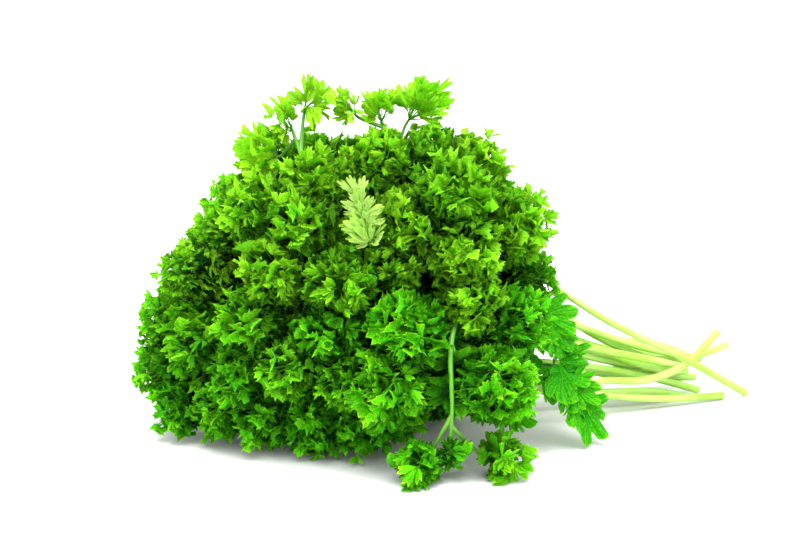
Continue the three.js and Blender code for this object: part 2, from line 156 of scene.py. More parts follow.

# How each kind of leaflet is cut and crisped, and how its rosette is filled.
# leaflets: how many a rosette of usual radius has. lobes, teeth: lobes of a leaflet, and teeth of a lobe.
# steps: mesh columns to a tooth. spread, curl, roll: how far it fans out, bends and turns, in degrees.
# wave, flutter, cup, tooth, notch: shares of its length. length: its length, as a share of the radius.
# reach: how far short of the rosette's round outside its tip may end, as a share of the way there.
# pull: how far it follows the lean. shade: how light its green is. gloom: how much painted shade darkens it
# toward the heart.
# light: a factor on its painted light; below 1 it is painted darker, as shade deep in the bunch. tone: the
# lowest and highest chance of a bright leaflet.
STYLES = {
    "crisp": dict(
        leaflets=112, lobes=3, teeth=4, steps=2, spread=84, wave=0.46, flutter=0.17, cup=0.2,
        curl=100, roll=170, notch=0.54, tooth=0.26, length=0.37, reach=0.36, shade=0.5, gloom=1.0,
        tone=(0.0, 1.0), pull=0.6,
    ),
    "sunny": dict(
        leaflets=104, lobes=3, teeth=4, steps=2, spread=84, wave=0.44, flutter=0.17, cup=0.2,
        curl=90, roll=150, notch=0.54, tooth=0.26, length=0.38, reach=0.36, shade=0.85, gloom=0.85,
        tone=(0.25, 1.0), pull=0.6,
    ),
    "hanging": dict(
        leaflets=96, lobes=3, teeth=4, steps=2, spread=84, wave=0.4, flutter=0.15, cup=0.16,
        curl=80, roll=130, notch=0.54, tooth=0.24, length=0.4, reach=0.32, shade=0.5, gloom=0.95,
        tone=(0.1, 1.0), pull=0.6,
    ),
    "tips": dict(
        leaflets=42, lobes=3, teeth=2, steps=4, spread=68, wave=0.28, flutter=0.05, cup=0.1,
        curl=95, roll=130, notch=0.5, tooth=0.24, length=0.6, reach=0.45, shade=0.7, gloom=0.7,
        tone=(0.2, 1.0), pull=0.7,
    ),
    "open": dict(
        leaflets=15, lobes=3, teeth=2, steps=4, spread=54, wave=0.26, flutter=0.06, cup=0.1,
        curl=55, roll=100, notch=0.5, tooth=0.24, length=0.85, reach=0.28, shade=0.85, gloom=0.4,
        tone=(0.3, 1.0), pull=1.3,
    ),
    "flat": dict(
        leaflets=9, lobes=5, teeth=1, steps=6, spread=86, wave=0.1, flutter=0.03, cup=0.05, curl=22,
        roll=30, notch=0.34, tooth=0, length=1.0, reach=0.3, shade=0.0, gloom=0.3,
        tone=(-0.35, -0.05), pull=0.8,
    ),
    "pale": dict(
        leaflets=11, lobes=3, teeth=3, steps=3, spread=58, wave=0.14, flutter=0.05, cup=0.1,
        curl=26, roll=30, notch=0.5, tooth=0.28, length=0.84, reach=0.2, shade=2.0, gloom=0.2,
        tone=(0.2, 0.8), pull=0.0,
    ),
    "fill": dict(
        leaflets=44, lobes=3, teeth=3, steps=2, spread=92, wave=0.36, flutter=0.1, cup=0.2, curl=90,
        roll=170, notch=0.5, tooth=0.3, length=0.5, reach=0.3, shade=0.2, gloom=0.9, light=0.72,
        tone=(0.0, 0.7), pull=0.0,
    ),
    "inner": dict(
        lobes=3, teeth=2, steps=2, spread=88, wave=0.36, flutter=0.1, cup=0.2, curl=80, notch=0.5,
        tooth=0.3, shade=0.2, gloom=1.0, light=0.6, tone=(0.0, 0.6),
    ),
}
FEATHERED = (STYLES["flat"], STYLES["pale"])

# The leafy stems. stalk: points from the cut end to where the foliage begins. rib: points of the midrib
# from there on, which ends at the last rosette. heads: the rosettes, as x, y, z, radius, and the share of
# the midrib at which its twig leaves it. A rosette that is turned, one-sided or of another kind also has the
# way it faces, the way its leaflets lean, or its style.
STEMS = {
    "front_hanging": dict(
        style="hanging",
        stalk=[(158, 12, 16), (130, 5.5, 24.5), (98, -2, 38), (52, -30, 63)],
        rib=[(34, -47, 61), (27.6, -56, 53), (26, -61, 45), (24.8, -66, 27)],
        heads=[
            (55, -50, 55, 16, 0.12),
            (38, -51, 64, 16, 0.2),
            (10, -56, 56, 18, 0.4, dict(facing=(-0.35, -0.9, 0.25), lean=(-0.5, 0, 0.1))),
            (2, -57, 36, 18, 0.47, dict(facing=(-0.3, -0.9, 0.3), lean=(-0.6, 0, -0.25))),
            (44, -64, 35, 18, 0.5, dict(facing=(0.2, -0.9, 0.35), lean=(0.55, 0, -0.2))),
            (46, -71, 11, 13, 0.87, dict(facing=(0.2, -0.8, 0.5), lean=(0.5, -0.2, 0), style="tips")),
            (10, -70, 10, 14, 0.82, dict(facing=(-0.2, -0.8, 0.5), lean=(-0.4, -0.2, 0), style="tips")),
            (26, -68, 10, 10, 1, dict(style="tips")),
        ],
    ),
    "right_flat": dict(
        style="flat",
        stalk=[(165, 3, 1.8), (134, -2.5, 4.5), (106, -8, 11), (91, -21, 26)],
        rib=[(84, -28, 30)],
        heads=[
            (77, -33, 42, 15, 0.3, dict(facing=(0.4, -0.85, 0.3), lean=(0.2, 0, -0.3))),
            (61, -40, 38, 14, 0.6),
            (60, -40, 18, 14, 0.8),
            (82, -38, 22, 18, 1, dict(facing=(0.35, -0.85, 0.35), lean=(0.25, 0, -0.4))),
        ],
    ),
    "top_right": dict(
        style="crisp",
        stalk=[(176, 4, 1.8), (140, -8, 24), (108, -10, 41), (93, -10, 51)],
        rib=[(74, -1, 64), (54, -12, 74), (36, -24, 82)],
        heads=[
            (73, -18, 65, 13, 0.02),
            (59, -34, 89, 18, 0.6),
            (36, -46, 82, 18, 0.75),
            (34, -38, 102, 20, 0.85),
            (-2, -38, 98, 15, 0.97, dict(facing=(-0.2, -0.95, 0.2), lean=(-0.1, 0, 0.4), style="pale")),
            (15, -36, 92, 18, 1),
        ],
    ),
    "top_back": dict(
        style="crisp",
        stalk=[(150, 14, 18), (137, 9, 18.5), (98, 4.5, 38), (54, 4, 82)],
        rib=[(36, 0, 96)],
        heads=[
            (50, -14, 110, 16, 0.2),
            (47, 10, 107, 15, 0.3),
            (31, -11, 112, 16, 0.75),
            (14, -12, 112, 16, 1),
        ],
    ),
    "top_spray_right": dict(
        style="open",
        stalk=[(153, 19, 17), (137, 14, 18.5), (98, 11, 38), (34, 18, 98)],
        rib=[(26, 17, 110)],
        heads=[
            (24, 30, 108, 15, 0.1, dict(style="sunny")),
            (35, 12, 117, 9, 0.3, dict(facing=(0.1, -0.9, 0.4), lean=(0.8, 0, -0.4))),
            (36, 12, 131, 14, 0.5, dict(facing=(0.1, -0.9, 0.4), lean=(0.5, 0, 0.7))),
            (5, 14, 130, 10, 0.9, dict(facing=(-0.1, -0.9, 0.4), lean=(-0.6, 0, 0.4))),
            (19, 13, 131, 11, 1, dict(facing=(0, -0.9, 0.4), lean=(-0.1, 0, 1))),
        ],
    ),
    "top_spray_left": dict(
        style="open",
        stalk=[(152, 12, 11), (137, 6.5, 14.5), (98, 1, 31.5), (0, 4, 88)],
        rib=[(-10, 8, 100)],
        heads=[
            (-15, -12, 105, 17, 0.1, dict(style="sunny")),
            (4, -6, 107, 13, 0.2, dict(style="sunny")),
            (-8, 16, 134, 12, 0.75, dict(facing=(-0.1, -0.9, 0.4), lean=(0.4, 0, 0.5))),
            (-30, 17, 113, 13, 0.9, dict(facing=(-0.4, -0.8, 0.4), lean=(-0.8, 0, 0.2))),
            (-21, 17, 125, 11, 1, dict(facing=(-0.2, -0.9, 0.4), lean=(-0.7, 0, 0.5))),
        ],
    ),
    "upper_left": dict(
        style="crisp",
        stalk=[(149, 17, 12), (137, 11.5, 14), (98, 2, 25.5), (-8, -6, 70)],
        rib=[(-20, -10, 80)],
        heads=[
            (-6, -26, 84, 13, 0.1),
            (-23, -26, 92, 17, 0.5),
            (-34, -27, 75, 17, 0.7),
            (-36, -9, 95, 17, 1),
        ],
    ),
    "far_left": dict(
        style="sunny",
        stalk=[(155, 23, 12), (137, 16.5, 13.8), (98, 9, 25), (-22, 16, 64)],
        rib=[(-38, 18, 70)],
        heads=[
            (-38, 33, 88, 15, 0.4),
            (-48, 38, 70, 16, 0.6),
            (-46, 16, 82, 14, 0.7),
            (-67, -1, 71, 11, 0.9),
            (-55, 13, 66, 16, 1),
        ],
    ),
    "left_low": dict(
        style="sunny",
        stalk=[(158, 17, 6.5), (137, 12.5, 9.5), (98, 6.5, 18.5), (-32, 13, 36)],
        rib=[(-48, 14, 32)],
        heads=[
            (-60, 4, 42, 18, 0.4),
            (-68, 24, 46, 15, 0.5),
            (-62, 40, 32, 16, 0.6),
            (-71, 22, 27, 15, 0.85),
            (-53, -4, 17, 16, 0.95),
            (-67, 8, 14, 14, 1),
        ],
    ),
    "centre": dict(
        style="crisp",
        stalk=[(149, 7, 14), (137, 2, 18.5), (98, -5.5, 30.5), (14, -18, 56)],
        rib=[(0, -28, 60)],
        heads=[
            (10, -40, 78, 14, 0.2),
            (-12, -42, 72, 17, 0.8),
            (-12, -46, 38, 14, 0.9),
            (-15, -41, 54, 16, 1),
        ],
    ),
    "centre_left": dict(
        style="crisp",
        stalk=[(158, 13, 2), (137, 7.5, 10), (98, -0.5, 21), (-12, -10, 38)],
        rib=[(-26, -14, 40)],
        heads=[
            (-30, -35, 40, 15, 0.5),
            (-28, -21, 57, 12, 0.6),
            (-42, -22, 54, 17, 0.7),
            (-47, -19, 34, 17, 1),
        ],
    ),
    "bottom_front": dict(
        style="crisp",
        stalk=[(164, 8, 28.4), (151, 4, 19.4), (137, 0, 14), (98, -9.7, 14.8), (4, -8, 20)],
        rib=[(-16, -10, 18)],
        heads=[
            (14, -31, 18, 15, 0.1),
            (-2, -37, 14, 15, 0.4),
            (-19, -28, 14, 16, 0.75),
            (-37, -16, 16, 17, 1),
        ],
    ),
    "back_top": dict(
        style="crisp",
        stalk=[(156, 25, 15), (137, 19, 18), (98, 18, 36), (14, 25, 74)],
        rib=[(4, 30, 84)],
        heads=[
            (43, 34, 98, 17, 0.05),
            (12, 50, 86, 18, 0.4),
            (-20, 38, 102, 17, 0.8),
            (2, 40, 105, 17, 1),
        ],
    ),
    "back_right": dict(
        style="crisp",
        stalk=[(160, 31, 12), (137, 25, 15.5), (98, 21, 29), (54, 26, 56)],
        rib=[(46, 34, 60)],
        heads=[
            (68, 28, 86, 16, 0.1),
            (73, 38, 54, 16, 0.2),
            (56, 44, 72, 17, 0.5),
            (47, 56, 52, 17, 0.8),
            (30, 58, 70, 17, 1),
        ],
    ),
    "back_middle": dict(
        style="crisp",
        stalk=[(178, 29, 16), (144, 21, 16), (99, 14.8, 26), (4, 28, 52)],
        rib=[(-10, 38, 58)],
        heads=[
            (8, 64, 50, 17, 0.2),
            (-10, 57, 68, 17, 0.5),
            (-30, 51, 84, 16, 0.8),
            (-34, 54, 60, 17, 1),
        ],
    ),
    "back_low_left": dict(
        style="crisp",
        stalk=[(151, 22, 6), (137, 17.5, 9), (98, 13.5, 15), (-16, 27, 30)],
        rib=[(-28, 36, 30)],
        heads=[
            (-20, 50, 14, 14, 0.3),
            (-26, 58, 34, 17, 0.5),
            (-46, 46, 44, 17, 0.8),
            (-46, 44, 19, 16, 1),
        ],
    ),
    "back_low_right": dict(
        style="crisp",
        stalk=[(156, 28, 5), (137, 23, 8.5), (98, 21, 13), (44, 28, 26)],
        rib=[(34, 36, 28)],
        heads=[
            (70, 40, 28, 16, 0.05),
            (50, 53, 30, 16, 0.4),
            (32, 46, 12, 14, 0.6),
            (4, 58, 24, 16, 0.9),
            (27, 62, 32, 17, 1),
        ],
    ),
    "underside": dict(
        style="crisp",
        stalk=[(147, 7, 2), (137, 4, 5.3), (98, 3, 8.5), (24, 12, 16)],
        rib=[(8, 8, 13)],
        heads=[
            (44, 6, 12, 15, 0.05),
            (14, -8, 12, 13, 0.4),
            (14, 28, 12, 15, 0.45),
            (-34, 20, 12, 15, 0.95),
            (0, 0, 4, 15, 1),
        ],
    ),
}

# Small rosettes deep in the bunch, which close the gaps between the outer ones: x, y, z, radius
FILLS = {
    "upper_left": [(-34, -8, 84, 13), (-20, 4, 96, 12)],
    "far_left": [(-42, 6, 52, 14), (-40, 16, 66, 13)],
    "centre": [(6, -34, 44, 13), (14, -32, 60, 12)],
    "top_right": [(10, -20, 101, 12), (62, -8, 78, 13)],
    "top_back": [(50, 8, 62, 14)],
    "front_hanging": [(46, -30, 46, 13)],
    "back_top": [(-8, 36, 84, 14), (24, 42, 80, 13), (-6, 16, 82, 13), (28, 18, 78, 13)],
    "back_right": [(42, 36, 70, 14), (60, 28, 60, 13)],
    "back_middle": [
        (8, 48, 64, 14),
        (-18, 44, 50, 14),
        (12, 44, 48, 13),
        (-9, 24, 54, 14),
        (-28, 24, 46, 13),
        (12, 20, 64, 13),
    ],
    "back_low_right": [(10, 50, 36, 14), (40, 44, 42, 14)],
    "back_low_left": [(-34, 38, 30, 14)],
    "underside": [(52, -14, 30, 12), (56, 18, 34, 13)],
}


def unit(v):
    """The vector or vectors v at length 1"""
    return v / np.maximum(np.linalg.norm(v, axis=-1, keepdims=True), 1e-12)


# Curves


def spaced(points, count, at=None):
    """count + 1 points evenly spaced along a smooth curve through points, or its points at other shares"""
    p = np.array(points, float)
    p = np.vstack([2 * p[0] - p[1], p, 2 * p[-1] - p[-2]])
    fine = []
    for a, b, c, d in zip(p, p[1:], p[2:], p[3:]):
        ta, tb, tc = (max(np.linalg.norm(y - x) ** 0.5, 1e-4) for x, y in ((a, b), (b, c), (c, d)))
        m = ((b - a) / ta - (c - a) / (ta + tb) + (c - b) / tb) * tb
        n = ((c - b) / tb - (d - b) / (tb + tc) + (d - c) / tc) * tb
        t = np.linspace(0, 1, CURVE_SAMPLES, endpoint=False)[:, None]
        fine.append(b + m * t + (3 * (c - b) - 2 * m - n) * t**2 + (2 * (b - c) + m + n) * t**3)
    fine = np.vstack([*fine, p[-2]])
    length = np.concatenate([[0], np.cumsum(np.linalg.norm(np.diff(fine, axis=0), axis=1))])
    shares = np.linspace(0, 1, count + 1) if at is None else np.atleast_1d(at)
    return np.stack([np.interp(shares * length[-1], length, fine[:, k]) for k in range(3)], axis=1)


def spread(lines, others=()):
    """Pushes lines of different stems apart until their tubes are clear; the ends stay put"""
    everything = [*lines, *others]
    owner = np.concatenate([[i] * (len(line["points"]) - 1) for i, line in enumerate(everything)])
    stem = np.array([line["stem"] for line in everything])[owner]
    radius = np.array([line["radius"] for line in everything])[owner]
    starts = np.cumsum([0] + [len(line["points"]) for line in everything])
    first = np.concatenate([np.arange(a, b - 1) for a, b in zip(starts, starts[1:])])
    p = np.vstack([line["points"] for line in everything])
    inner = np.zeros(len(p), bool)
    for i in range(len(lines)):
        inner[starts[i] + 1 : starts[i + 1] - 1] = True
    i, j = np.nonzero((owner[:, None] < owner[None]) & (stem[:, None] != stem[None]))
    keep = owner[i] < len(lines)
    i, j = i[keep], j[keep]
    both = owner[j] < len(lines)
    need = radius[i] + radius[j] + 2 * GAP
    line_radius = np.concatenate([[line["radius"]] * len(line["points"]) for line in everything])
    for _ in range(SPREAD_ROUNDS):
        a, b, c, d = p[first[i]], p[first[i] + 1], p[first[j]], p[first[j] + 1]
        u, v, w = b - a, d - c, a - c
        uu, vv, uv = (u * u).sum(1), (v * v).sum(1), (u * v).sum(1)
        uw, vw = (u * w).sum(1), (v * w).sum(1)
        over = uu * vv - uv * uv
        s = np.where(over > 1e-9, np.clip((uv * vw - vv * uw) / np.maximum(over, 1e-9), 0, 1), 0.5)
        t = np.clip((uv * s + vw) / vv, 0, 1)
        s = np.clip((uv * t - uw) / uu, 0, 1)
        apart = a + u * s[:, None] - c - v * t[:, None]
        distance = np.linalg.norm(apart, axis=1)
        close = distance < need
        push = apart[close] * (PUSH * (need - distance) / np.maximum(distance, 0.01))[close, None]
        s, t = s[close, None], t[close, None]
        k, m, pushed = first[i[close]], first[j[close]], both[close]
        move = np.zeros_like(p)
        np.add.at(move, k, push * (1 - s))
        np.add.at(move, k + 1, push * s)
        np.add.at(move, m[pushed], (push * (t - 1))[pushed])
        np.add.at(move, m[pushed] + 1, (-push * t)[pushed])
        p[inner] += move[inner]
        p[inner, 2] = np.maximum(p[inner, 2], line_radius[inner] + FLOOR_GAP)
    for i, line in enumerate(lines):
        line["points"] = p[starts[i] : starts[i + 1]]


# The skeleton


def head_of(rests, x, y, z, radius, share, turned=None):
    """A rosette: its middle, the ways it faces and leans, and its heart, where its twig ends"""
    turned = turned or {}
    middle = np.array([x, y, z], float)
    lean = np.array(turned.get("lean", (0, 0, 0)), float)
    own = dict(radius=radius, share=share, lean=lean, style=STYLES.get(turned.get("style")))
    if rests:
        middle[2] = REST_HEART
        return dict(middle=middle, facing=np.array([0, 0, 1.0]), heart=middle.copy(), **own)
    inner = np.array([INNER_LINE["x"], INNER_LINE["y"], INNER_LINE["share"] * z + INNER_LINE["height"]])
    facing = unit(np.array(turned.get("facing", middle - inner), float))
    heart = middle - HEART_BACK * radius * facing - HEART_LEAN * radius * lean
    heart[2] = max(heart[2], LOWEST_HEART)
    return dict(middle=middle, facing=facing, heart=heart, **own)


def skeleton():
    """The stems, each with its head list, its line (stalk and midrib) and its twigs"""
    stems = {}
    for name, stem in STEMS.items():
        last = len(stem["heads"]) - 1
        heads = [head_of(name == REST_STEM and i == last, *head) for i, head in enumerate(stem["heads"])]
        stalk = spaced(stem["stalk"], STALK_STEPS)
        rib = spaced([stem["stalk"][-1], *stem["rib"], heads[-1]["heart"]], RIB_STEPS)
        line = dict(stem=name, radius=STALK_RADIUS, points=np.vstack([stalk, rib[1:]]))
        stems[name] = dict(heads=heads, line=line, style=STYLES[stem["style"]])
    spread([stem["line"] for stem in stems.values()])
    for name, stem in stems.items():
        stem["twigs"] = []
        for head in stem["heads"][:-1]:
            start = spaced(stem["line"]["points"][STALK_STEPS:], 1, at=max(head["share"], FIRST_TWIG))[0]
            bow = TWIG_BEND * np.linalg.norm(start - head["heart"])
            bend = head["heart"] - bow * head["facing"]
            bend[2] = max(bend[2], LOWEST_BEND)
            t = np.linspace(0, 1, TWIG_STEPS + 1)[:, None]
            points = (1 - t) ** 2 * start + 2 * t * (1 - t) * bend + t**2 * head["heart"]
            stem["twigs"].append(dict(stem=name, radius=SPREAD_TWIG_RADIUS, points=points))
    spread([t for s in stems.values() for t in s["twigs"]], [s["line"] for s in stems.values()])
    return stems


def room_of(head, heads):
    """The walls between a rosette and its neighbours: outward normals, and distances from the heart"""
    out, reach = [np.array([0, 0, -1.0])], [head["heart"][2]]
    for direction, limit in BOX:
        out.append(np.array(direction, float))
        reach.append(limit - head["heart"] @ out[-1])
    for other in heads:
        away = other["middle"] - head["middle"]
        distance = np.linalg.norm(away)
        if other is head or distance > head["radius"] + other["radius"]:
            continue
        away /= distance
        share = (distance**2 + head["radius"] ** 2 - other["radius"] ** 2) / (2 * distance)
        out.append(away)
        reach.append((head["middle"] + away * share - head["heart"]) @ away)
    return np.array(out), np.array(reach)


# Meshes


class Shape:
    """Vertices, quads and their layers, gathered for one mesh"""

    def __init__(self):
        self.points = []
        self.quads = []
        self.uvs = []
        self.tints = []
        self.slots = []
        self.count = 0

    def add(self, grid, uv, tint, slot):
        """A grid of points (rows, columns, 3) with its uv and tint grids and its material slot"""
        rows, columns = grid.shape[:2]
        index = np.arange(rows * columns).reshape(rows, columns) + self.count
        a, b, c, d = index[:-1, :-1], index[:-1, 1:], index[1:, 1:], index[1:, :-1]
        quads = np.stack([a, b, c, d], axis=-1).reshape(-1, 4)
        self.points.append(grid.reshape(-1, 3))
        self.uvs.append(uv.reshape(-1, 2))
        self.tints.append(np.broadcast_to(tint, grid.shape).reshape(-1, 3))
        self.quads.append(quads)
        self.slots.append(np.full(len(quads), slot))
        self.count += rows * columns

    def build(self, name, materials):
        """The finished Blender object"""
        points, quads = np.vstack(self.points) * MM, np.vstack(self.quads)
        mesh = bpy.data.meshes.new(name)
        mesh.vertices.add(len(points))
        mesh.vertices.foreach_set("co", points.ravel().astype(np.float32))
        mesh.loops.add(quads.size)
        mesh.loops.foreach_set("vertex_index", quads.ravel().astype(np.int32))
        mesh.polygons.add(len(quads))
        mesh.polygons.foreach_set("loop_start", np.arange(0, quads.size, 4, dtype=np.int32))
        mesh.polygons.foreach_set("material_index", np.concatenate(self.slots).astype(np.int32))
        mesh.polygons.foreach_set("use_smooth", np.ones(len(quads), bool))
        layer = mesh.uv_layers.new(name="blade")
        layer.uv.foreach_set("vector", np.vstack(self.uvs)[quads.ravel()].ravel().astype(np.float32))
        tint = mesh.attributes.new("tint", "FLOAT_VECTOR", "POINT")
        tint.data.foreach_set("vector", np.vstack(self.tints).ravel().astype(np.float32))
        mesh.update(calc_edges=True)
        mesh.validate()
        for material in materials:
            mesh.materials.append(material)
        piece = bpy.data.objects.new(name, mesh)
        bpy.context.scene.collection.objects.link(piece)
        return piece


def add_tube(
    shape, points, radii, sides, slot, ridges=0, ridge_depth=0.0, pale=(0, 0), cut_end=False
):
    """A tube through points, ridged length-wise, pale by so much at its ends, closed at its cut end"""
    points = np.asarray(points)
    along = unit(np.gradient(points, axis=0))
    normal = [unit(np.cross(along[0], [0.13, 0.31, 0.94]))]
    for k in range(1, len(points)):
        normal.append(unit(normal[-1] - (normal[-1] @ along[k]) * along[k]))
    normal = np.array(normal)
    other = np.cross(along, normal)
    turn = np.linspace(0, 2 * math.pi, sides + 1)
    profile = 1 + ridge_depth * np.cos(ridges * turn)
    ring = (
        np.cos(turn)[None, :, None] * normal[:, None] + np.sin(turn)[None, :, None] * other[:, None]
    ) * (np.asarray(radii)[:, None] * profile)[..., None]
    grid = points[:, None] + ring
    length = np.concatenate([[0], np.cumsum(np.linalg.norm(np.diff(points, axis=0), axis=1))])
    uv = np.stack(np.meshgrid(turn / (2 * math.pi), length / 100), axis=-1)
    tint = np.zeros_like(grid)
    tint[..., 1] = np.linspace(*pale, len(points))[:, None] ** 2
    shape.add(grid, uv, tint, slot)
    if cut_end:
        rims = np.stack([points[0] + ring[0] * share for share in CUT_RIMS])
        flat = np.stack(np.meshgrid(turn / (2 * math.pi), [0, 0.5, 1]), axis=-1)
        shape.add(rims, flat, np.array([1.0, 0, 0]), slot)


def blade_outline(style):
    """The columns of a leaflet: place across it, reach of its cut edge, and the phase of its lobes"""
    teeth, steps = style["lobes"] * style["teeth"], style["steps"]
    column = np.arange(teeth * steps + 1)
    across = column / column[-1] * 2 - 1
    in_lobe = (column / (steps * style["teeth"])) % 1
    in_tooth = (column / steps) % 1
    lobe = 1 - style["notch"] * np.abs(2 * in_lobe - 1) ** NOTCH_POWER
    tooth = 1 - style["tooth"] * np.abs(2 * in_tooth - 1) ** TOOTH_POWER
    return across, lobe * tooth * (1 - SIDE_LOSS * across**2), in_lobe


def add_leaflet(shape, style, base, forward, normal, length, rng, soften, depth_of):
    """One fan-shaped leaflet: cut into toothed lobes, waved along its edge, cupped and curled"""
    across, reach, in_lobe = blade_outline(style)
    lobes, teeth = style["lobes"], style["lobes"] * style["teeth"]
    place = across + 0.3 * (rng.random() - 0.5) * (1 - across**2)
    reach = reach * (1 + 0.16 * np.sin(rng.random() * 7 + 3.3 * across))
    rows = np.array(ROWS)[:, None]
    angle = math.radians(style["spread"]) * place * (0.8 + 0.32 * rng.random())
    walk = length * rows * reach
    x, y = walk * np.sin(angle), walk * np.cos(angle)
    # Its height: waves through the lobes, a flutter from tooth to tooth, a fold along each lobe, and the cup
    phase = 2 * math.pi * rng.random()
    z = style["wave"] * np.sin(math.pi * lobes * (across + 1) / 2 + phase) * rows**1.5
    phase = 7 * rng.random()
    z = z + SLOW_WAVE * style["wave"] * np.sin(math.pi * 1.7 * lobes * across + phase) * rows**2.2
    z = z + style["flutter"] * np.sin(math.pi * teeth * (across + 1) / 2) * rows**3
    z = z - LOBE_FOLD * np.cos(2 * math.pi * in_lobe) * rows**1.5
    z = length * (z + style["cup"] * across**2 * rows)
    curl = math.radians(style["curl"]) * (1.4 * rng.random() - 0.9) * rows**1.2
    y, z = y * np.cos(curl) - z * np.sin(curl), y * np.sin(curl) + z * np.cos(curl)
    side = np.cross(forward, normal)
    grid = soften(base + x[..., None] * side + y[..., None] * forward + z[..., None] * normal)
    uv = np.stack(np.broadcast_arrays((across + 1) / 2 * lobes, rows * np.ones_like(across)), axis=-1)
    # Painted shade: darker toward the heart and beside neighbour rosettes, and overall by the style's light
    # factor
    depth = style.get("light", 1.0) * (1 - style["gloom"] * (1 - depth_of(grid)))
    # Painted light from above: leaflets higher in the bunch are lighter, lower ones darker
    shade = style["shade"] + HEIGHT_PAINTED_LIGHT * (base[2] / MIDDLE_HEIGHT - 1)
    chance = style["tone"][0] + (style["tone"][1] - style["tone"][0]) * rng.random()
    tint = np.stack([depth, chance + 0 * depth, max(shade, 0) + 0 * depth], axis=-1)
    shape.add(grid, uv, tint, 0)


def depth_from(heart, reach, between=((), ())):
    """A function that gives how far from the heart points lie, from 0 to 1, and less beside a wall; low
    values are painted as shade
    """

    def depth_of(grid):
        step = grid - heart
        depth = np.clip(np.linalg.norm(step, axis=-1) / reach, 0, 1)
        out, limit = between
        if len(limit):
            near = np.clip(step @ out.T / np.maximum(limit, 1), 0, 1) ** 4
            depth = depth * (1 - VALLEY * near.max(axis=-1))
        return depth

    return depth_of


def soft_room(head, walls):
    """A function that eases points back where they pass a wall of the rosette's room"""
    out, reach = walls
    slack = np.where(np.arange(len(reach)) == 0, 0.0, WALL_SLACK)

    def ease(grid):
        step = grid - head["heart"]
        for direction, limit, room in zip(out, reach, slack):
            past = step @ direction - max(limit - WALL_START, 0)
            kept = (room + WALL_GIVE) * (1 - np.exp(-np.maximum(past, 0) / (room + WALL_EASE)))
            eased = np.where(past > 0, kept, past)
            step = step + (eased - past)[..., None] * direction
        return head["heart"] + step

    return ease


def shell_distance(head, forward):
    """The way along a direction from the heart to the round outside of the rosette"""
    from_middle = head["heart"] - head["middle"]
    along = from_middle @ forward
    return -along + math.sqrt(max(along**2 + head["radius"] ** 2 - from_middle @ from_middle, 0))


def add_rosette(shape, style, head, walls, rng):
    """Crisped leaflets set evenly round the heart, over the side that it faces and a little behind"""
    facing, heart, radius = head["facing"], head["heart"], head["radius"]
    first = unit(np.cross(facing, [0.3, 0.2, 0.93]))
    second = np.cross(facing, first)
    soften = soft_room(head, walls)
    # Painted shade toward the heart and toward neighbour rosettes
    between = [part[OPEN_WALLS:] for part in walls]
    depth_of = depth_from(heart, ROSETTE_DEPTH * radius, between)
    mood = rng.random() - 0.5
    tone = (style["tone"][0] + MOOD_TONE * mood, style["tone"][1] + MOOD_TONE * mood)
    style = dict(style, shade=style["shade"] + MOOD_SHADE * mood, tone=tone)
    count = max(FEWEST_LEAFLETS, round(style["leaflets"] * (radius / USUAL_RADIUS) ** COUNT_POWER))
    start = rng.random() * 2 * math.pi
    for i in range(count):
        azimuth = start + i * GOLDEN_TURN + TURN_JITTER * (rng.random() - 0.5)
        lift = math.asin(LIFT[0] + LIFT[1] * (i + 0.5) / count)
        outward = math.cos(azimuth) * first + math.sin(azimuth) * second
        forward = unit(math.cos(lift) * outward + math.sin(lift) * facing + style["pull"] * head["lean"])
        normal = math.cos(lift) * facing - math.sin(lift) * outward
        normal = unit(normal - (normal @ forward) * forward)
        roll = math.radians(style["roll"] * (rng.random() - 0.5))
        normal = math.cos(roll) * normal + math.sin(roll) * np.cross(forward, normal)
        length = radius * style["length"] * (LENGTHS[0] + LENGTHS[1] * rng.random())
        tip = shell_distance(head, forward) * (1.0 - style["reach"] * rng.random())
        root = max(tip - length, LEAST_ROOT * radius)
        length = max(tip - root, LEAST_LENGTH * radius)
        add_tube(shape, [heart, heart + forward * (root + 0.2 * length)], PETIOLE_RADII, 3, 1)
        add_leaflet(shape, style, heart + forward * root, forward, normal, length, rng, soften, depth_of)


def add_feathered(shape, style, head, walls, rng):
    """A feathered leaf: pairs of leaflets up both sides of a midrib, and one at its tip

    Places and lengths are shares of its radius.
    """
    up, facing, radius = unit(head["lean"]), head["facing"], head["radius"]
    facing = unit(facing - (facing @ up) * up)
    side = np.cross(up, facing)
    soften = soft_room(head, walls)
    depth_of = depth_from(head["heart"] - 3 * radius * facing, radius)
    foot = head["middle"] - 0.95 * radius * up + 0.1 * radius * facing
    pairs = style["leaflets"] // 2
    midrib = [head["heart"], foot, foot + 0.8 * radius * up, foot + 1.5 * radius * up]
    add_tube(shape, midrib, FEATHER_RIB_RADII, 6, 1)
    for i in range(pairs):
        share = i / pairs
        for hand in (-1, 1):
            outward = hand * (0.85 - 0.4 * share) * side
            forward = unit((0.55 + 0.5 * share) * up + outward + 0.12 * facing)
            normal = unit(facing - (facing @ forward) * forward)
            length = radius * style["length"] * (0.95 - 0.35 * share) * (0.9 + 0.2 * rng.random())
            base = foot + (0.1 + 1.25 * share) * radius * up
            add_leaflet(shape, style, base, forward, normal, length, rng, soften, depth_of)
    tip = foot + 1.35 * radius * up
    length = radius * style["length"] * 0.8
    add_leaflet(shape, style, tip, up, facing, length, rng, soften, depth_of)


def above_floor(grid):
    """Points lifted off the floor where they are in it"""
    return np.maximum(grid, [-np.inf, -np.inf, FLOOR_CLEARANCE])


